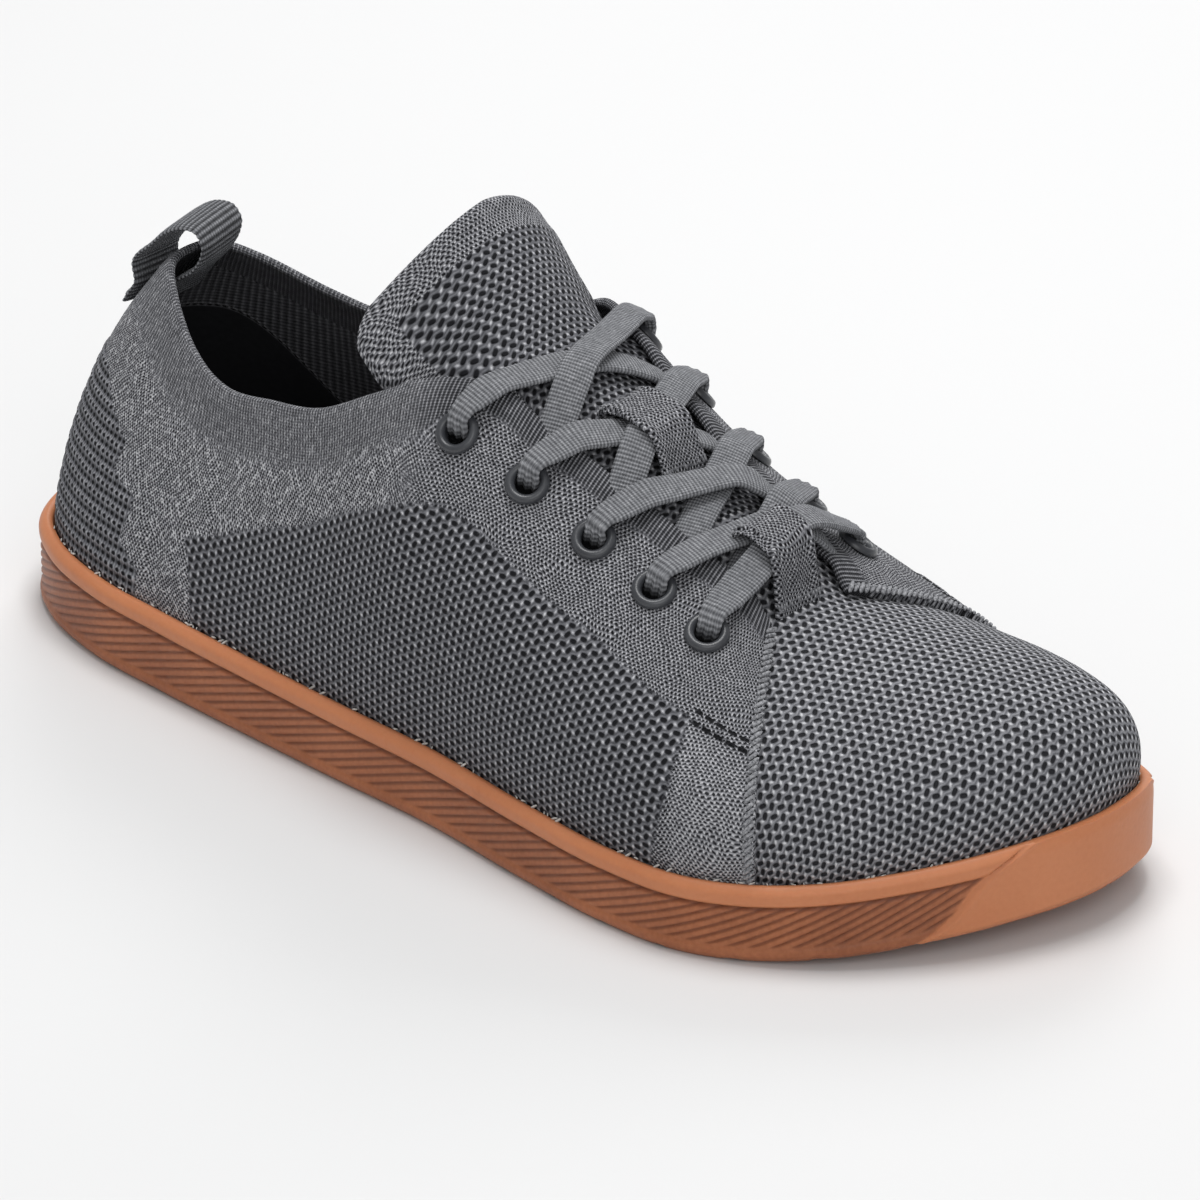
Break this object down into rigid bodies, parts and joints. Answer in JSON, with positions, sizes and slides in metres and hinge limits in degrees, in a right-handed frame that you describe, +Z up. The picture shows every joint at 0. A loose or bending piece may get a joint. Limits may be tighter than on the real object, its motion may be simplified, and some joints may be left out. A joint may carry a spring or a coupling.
{
  "type": "barefoot shoe",
  "caption": "Low right barefoot shoe with a knitted grey upper, a flexible tongue under flat crossed lacing, a heel pull tab and a thin gum rubber cup sole.",
  "frame": {"origin": "on the floor, at the flat underside of the sole under the middle of the heel pad", "axes": "+X to the toe, +Y to the inner (medial) side, +Z up"},
  "size_m": [0.277, 0.1097, 0.1156],
  "materials": {
    "gum_rubber": "matte",
    "knit": "matte",
    "lining": "matte",
    "painted_metal": "satin",
    "braid": "matte"
  },
  "bodies": {
    "root": {"outsole": "gum_rubber", "upper": "knit", "insole": "lining", "tongue": "knit", "eyelet_lateral_1": "painted_metal", "eyelet_lateral_2": "painted_metal", "eyelet_lateral_3": "painted_metal", "eyelet_lateral_4": "painted_metal", "eyelet_lateral_5": "painted_metal", "eyelet_medial_1": "painted_metal", "eyelet_medial_2": "painted_metal", "eyelet_medial_3": "painted_metal", "eyelet_medial_4": "painted_metal", "eyelet_medial_5": "painted_metal", "lace_cross_1": "braid", "lace_cross_2": "braid", "lace_cross_3": "braid", "lace_cross_4": "braid", "lace_bar": "braid", "tongue_loop_upper": "knit", "tongue_loop_lower": "knit", "pull_tab": "braid"}
  },
  "joints": []
}
